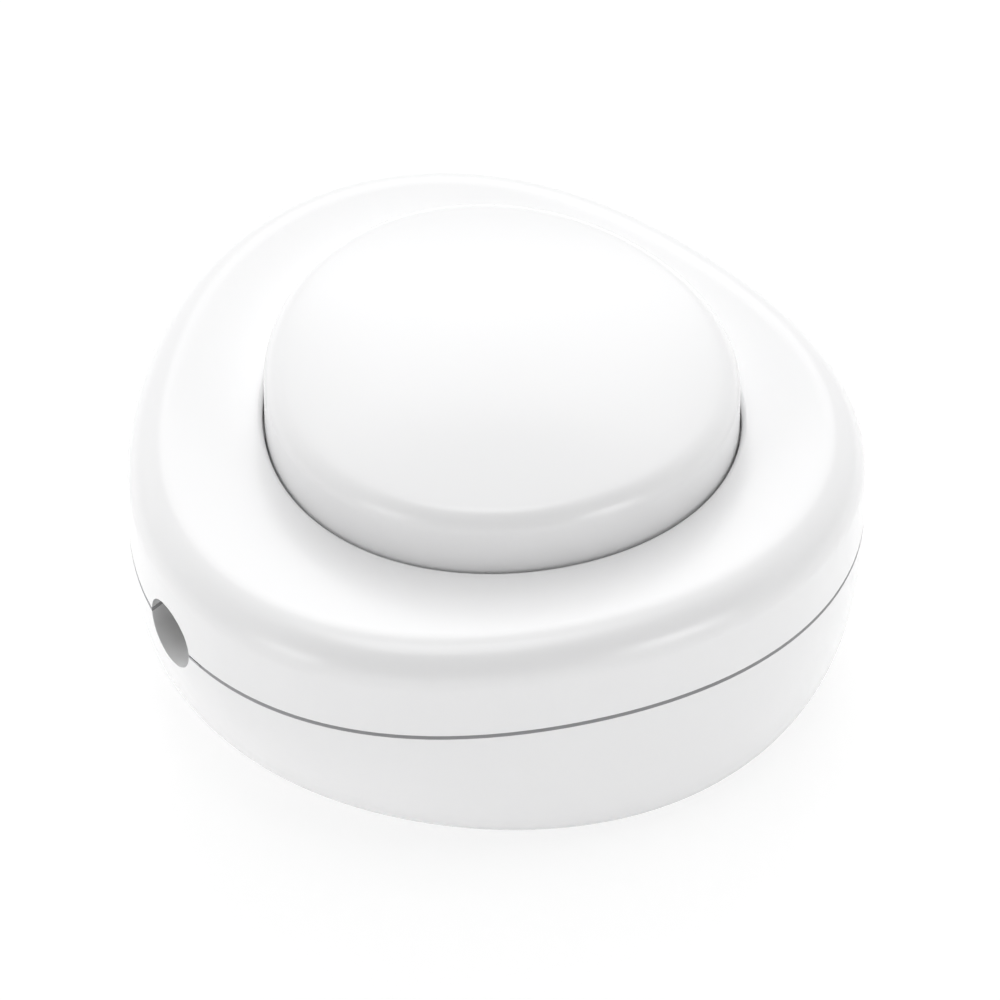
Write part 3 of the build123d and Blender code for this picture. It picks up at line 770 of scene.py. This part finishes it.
@dataclass
class Studio:
    """Pale floor, white surroundings, soft lamps and the camera.

    Lengths are in metres but for the camera's lens and sensor, and angles are in degrees. The
    surroundings are dark within dark_side_core of the viewer and full beyond dark_side_edge.
    """

    azimuth: float = 132.7
    elevation: float = 44.09
    distance: float = 1.0487
    lens: float = 389.2
    sensor: float = 36.0
    view_reach: float = 20.0
    aim_x: float = -1.84 * MM
    aim_right: float = 1.618 * MM
    aim_up: float = 11.266 * MM
    floor_size: float = 6.0
    floor_below: float = 0.05 * MM
    floor_colour: tuple[float, float, float] = (0.95, 0.95, 0.95)
    floor_roughness: float = 0.9
    floor_glow: float = 0.22
    floor_shows_shadow: float = 0.3
    world_strength: float = 1.01
    horizon_share: float = 0.66
    full_light_from: float = 0.5
    dark_side_strength: float = 0.02
    dark_side_turn: float = 0.15
    dark_side_core: float = 36.0
    dark_side_edge: float = 60.0

    def directions(self) -> tuple[Vector, Vector, Vector]:
        """Work out the camera's directions.

        Returns:
            Right, up and back, which points from the switch to the camera.
        """
        turn, rise = math.radians(self.azimuth), math.radians(self.elevation)
        right = Vector((math.cos(turn), math.sin(turn), 0.0))
        back_level = Vector((math.sin(turn), -math.cos(turn), 0.0)) * math.cos(rise)
        back = back_level + Vector((0.0, 0.0, math.sin(rise)))
        return right, back.cross(right), back

    def add_camera(self) -> None:
        """Place the camera at the photograph's viewing angle."""
        right, up, back = self.directions()
        aim = Vector((self.aim_x, 0.0, 0.0)) + right * self.aim_right + up * self.aim_up
        camera = bpy.data.objects.new("camera", bpy.data.cameras.new("camera"))
        camera.data.lens = self.lens
        camera.data.sensor_width = self.sensor
        camera.data.sensor_fit = "HORIZONTAL"
        camera.data.clip_end = self.view_reach
        turn = Matrix((right, up, back)).transposed().to_4x4()
        camera.matrix_world = Matrix.Translation(aim + back * self.distance) @ turn
        bpy.context.scene.collection.objects.link(camera)
        bpy.context.scene.camera = camera

    def floor_material(self) -> bpy.types.Material:
        """Make a pale floor that shows nearly white to the camera and keeps a light shadow.

        Returns:
            The floor's material.
        """
        material = bpy.data.materials.new("studio_floor")
        material.use_nodes = True
        nodes, links = material.node_tree.nodes, material.node_tree.links
        shader = nodes["Principled BSDF"]
        shader.inputs["Base Color"].default_value = (*self.floor_colour, 1.0)
        shader.inputs["Roughness"].default_value = self.floor_roughness
        shader.inputs["Specular IOR Level"].default_value = 0.0
        glow = nodes.new("ShaderNodeEmission")
        glow.inputs["Strength"].default_value = self.floor_glow
        lit = nodes.new("ShaderNodeAddShader")
        links.new(shader.outputs["BSDF"], lit.inputs[0])
        links.new(glow.outputs["Emission"], lit.inputs[1])
        white = nodes.new("ShaderNodeEmission")
        path = nodes.new("ShaderNodeLightPath")
        share = nodes.new("ShaderNodeMath")
        share.operation = "MULTIPLY"
        share.inputs[1].default_value = 1.0 - self.floor_shows_shadow
        mix = nodes.new("ShaderNodeMixShader")
        links.new(path.outputs["Is Camera Ray"], share.inputs[0])
        links.new(share.outputs["Value"], mix.inputs["Fac"])
        links.new(lit.outputs["Shader"], mix.inputs[1])
        links.new(white.outputs["Emission"], mix.inputs[2])
        links.new(mix.outputs["Shader"], nodes["Material Output"].inputs["Surface"])
        return material

    def add_floor(self) -> None:
        """Lay the floor just under the foot of the switch."""
        select_only(None)
        place = (0.0, 0.0, -self.floor_below)
        bpy.ops.mesh.primitive_plane_add(size=self.floor_size, location=place)
        floor = bpy.context.object
        floor.name = "floor"
        floor.data.materials.append(self.floor_material())

    def set_world(self) -> None:
        """Surround the switch with light that is weak on the viewer's side and near the horizon."""
        world = bpy.data.worlds.new("studio_world")
        bpy.context.scene.world = world
        world.use_nodes = True
        nodes, links = world.node_tree.nodes, world.node_tree.links
        light = nodes["Background"]
        light.inputs["Color"].default_value = WHITE
        place = nodes.new("ShaderNodeTexCoord")
        nearness = nodes.new("ShaderNodeVectorMath")
        nearness.operation = "DOT_PRODUCT"
        right, _, back = self.directions()
        nearness.inputs[1].default_value = (back + right * self.dark_side_turn).normalized()
        fall = nodes.new("ShaderNodeMapRange")
        fall.interpolation_type = "SMOOTHSTEP"
        fall.inputs["From Min"].default_value = math.cos(math.radians(self.dark_side_edge))
        fall.inputs["From Max"].default_value = math.cos(math.radians(self.dark_side_core))
        fall.inputs["To Min"].default_value = self.world_strength
        fall.inputs["To Max"].default_value = self.dark_side_strength
        links.new(place.outputs["Generated"], nearness.inputs[0])
        links.new(nearness.outputs["Value"], fall.inputs["Value"])
        height = nodes.new("ShaderNodeSeparateXYZ")
        links.new(place.outputs["Generated"], height.inputs["Vector"])
        rise = nodes.new("ShaderNodeMapRange")
        rise.interpolation_type = "SMOOTHSTEP"
        rise.inputs["From Max"].default_value = self.full_light_from
        rise.inputs["To Min"].default_value = self.horizon_share
        links.new(height.outputs["Z"], rise.inputs["Value"])
        both = nodes.new("ShaderNodeMath")
        both.operation = "MULTIPLY"
        links.new(fall.outputs["Result"], both.inputs[0])
        links.new(rise.outputs["Result"], both.inputs[1])
        links.new(both.outputs["Value"], light.inputs["Strength"])
        seen = nodes.new("ShaderNodeBackground")
        seen.inputs["Color"].default_value = WHITE
        path = nodes.new("ShaderNodeLightPath")
        mix = nodes.new("ShaderNodeMixShader")
        links.new(path.outputs["Is Camera Ray"], mix.inputs["Fac"])
        links.new(light.outputs["Background"], mix.inputs[1])
        links.new(seen.outputs["Background"], mix.inputs[2])
        links.new(mix.outputs["Shader"], nodes["World Output"].inputs["Surface"])

    def add_lamp(self, softbox: Softbox) -> None:
        """Place one softbox and turn it to the switch.

        Args:
            softbox: The lamp to add.
        """
        right, _, back = self.directions()
        nearer = Vector((back.x, back.y, 0.0)).normalized()
        place = right * softbox.right + nearer * softbox.nearer
        place.z += softbox.above
        lamp = bpy.data.objects.new(softbox.name, bpy.data.lights.new(softbox.name, "AREA"))
        lamp.data.shape = "SQUARE"
        lamp.data.size = softbox.size
        lamp.data.energy = softbox.power
        lamp.location = place
        lamp.rotation_euler = (-place).to_track_quat("-Z", "Y").to_euler()
        bpy.context.scene.collection.objects.link(lamp)

    def build(self) -> None:
        """Set up the whole studio."""
        bpy.context.scene.view_settings.view_transform = "Standard"
        self.add_camera()
        self.add_floor()
        self.set_world()
        for softbox in SOFTBOXES:
            self.add_lamp(softbox)
        log.info("studio ready")


def dress_nodes(frame: dict) -> dict[Finish, bpy.types.Material]:
    """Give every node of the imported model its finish.

    Args:
        frame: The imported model.

    Returns:
        The material of each finish.
    """
    materials = {}
    for finish, names in NODE_FINISH.items():
        materials[finish] = finish.material()
        for name in names:
            node = frame["nodes"][name]
            node.data.materials.clear()
            node.data.materials.append(materials[finish])
            log.info("dressed %s in %s", name, finish.name)
    return materials


def main() -> None:
    """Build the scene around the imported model."""
    logging.basicConfig(level=logging.INFO, format="%(message)s")
    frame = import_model()
    materials = dress_nodes(frame)
    CoverShell().build(materials[GLOSS_WHITE])
    PushButton().build(materials[GLOSS_WHITE])
    ReturnSpring().build(materials[SPRING_WIRE])
    Studio().build()


if __name__ == "__main__":
    main()
